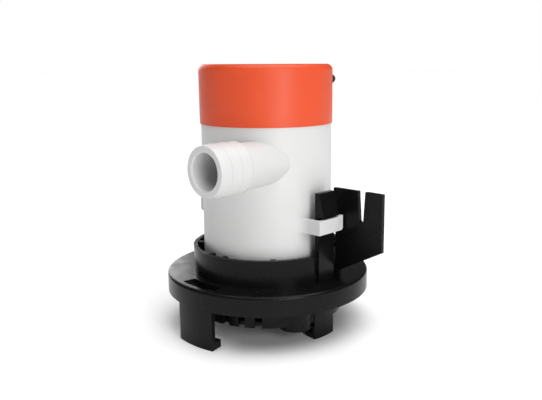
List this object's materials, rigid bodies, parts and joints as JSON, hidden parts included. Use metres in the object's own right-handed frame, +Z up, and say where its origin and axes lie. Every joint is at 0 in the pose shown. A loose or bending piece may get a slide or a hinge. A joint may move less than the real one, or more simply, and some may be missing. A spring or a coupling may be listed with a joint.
{
  "type": "bilge pump",
  "caption": "Small submersible bilge pump: white housing with a barbed side outlet, orange cap, and a black hooked strainer base that twist-locks on.",
  "frame": {"origin": "on the pump axis, in the plane that the feet stand on", "axes": "+Z up along the pump axis, -Y the way the outlet points, +X the side of the lead clip"},
  "size_m": [0.0925, 0.0864, 0.105],
  "materials": {
    "black_base": "glossy black moulded plastic",
    "white_housing": "satin white moulded plastic",
    "inlet_plate": "satin white moulded plastic",
    "orange_cap": "satin orange moulded plastic",
    "seal_rubber": "matt black rubber",
    "gland_rubber": "smooth black rubber",
    "lead_insulation": "brown and black insulation",
    "capsule": "pale grey moulded plastic",
    "stainless": "stainless steel",
    "can_steel": "zinc-plated drawn steel",
    "ferrite": "dull ferrite",
    "end_bell": "matt black plastic",
    "bronze": "sintered bronze",
    "carbon": "copper-carbon",
    "spring_brass": "rolled brass",
    "ceramic": "dipped ceramic",
    "shaft_steel": "ground steel",
    "core_steel": "laminated steel",
    "insulator": "green fibre board",
    "copper": "enamelled copper wire",
    "washer": "nylon",
    "impeller": "satin dark grey plastic"
  },
  "bodies": {
    "base": {"strainer_base": "black_base", "strainer_grille": "black_base"},
    "pump": {"pump_housing": "white_housing", "outlet_barb": "white_housing", "inlet_plate": "inlet_plate", "top_cap": "orange_cap", "cap_seal": "seal_rubber", "cable_gland": "gland_rubber", "power_leads": "lead_insulation", "motor_capsule": "capsule", "capsule_seal": "seal_rubber", "shaft_seal": "seal_rubber", "seal_retainer": "stainless", "motor_screws": "stainless", "motor_can": "can_steel", "magnets": "ferrite", "end_bell": "end_bell", "lower_bushing": "bronze", "upper_bushing": "bronze", "brushes": "carbon", "brush_springs": "spring_brass", "terminals": "spring_brass", "capacitor": "ceramic"},
    "rotor": {"motor_shaft": "shaft_steel", "armature_core": "core_steel", "armature_insulators": "insulator", "armature_windings": "copper", "commutator": "copper", "thrust_washers": "washer", "impeller": "impeller", "impeller_clip": "stainless"}
  },
  "joints": [
    {"name": "base_twist", "type": "hinge", "parent": "base", "child": "pump", "pos_m": [0, 0, 0.023], "axis": [0, 0, 1], "range_deg": [-25, 0]},
    {"name": "rotor_spin", "type": "hinge", "parent": "pump", "child": "rotor", "pos_m": [0, 0, 0.06], "axis": [0, 0, 1], "continuous": true}
  ]
}
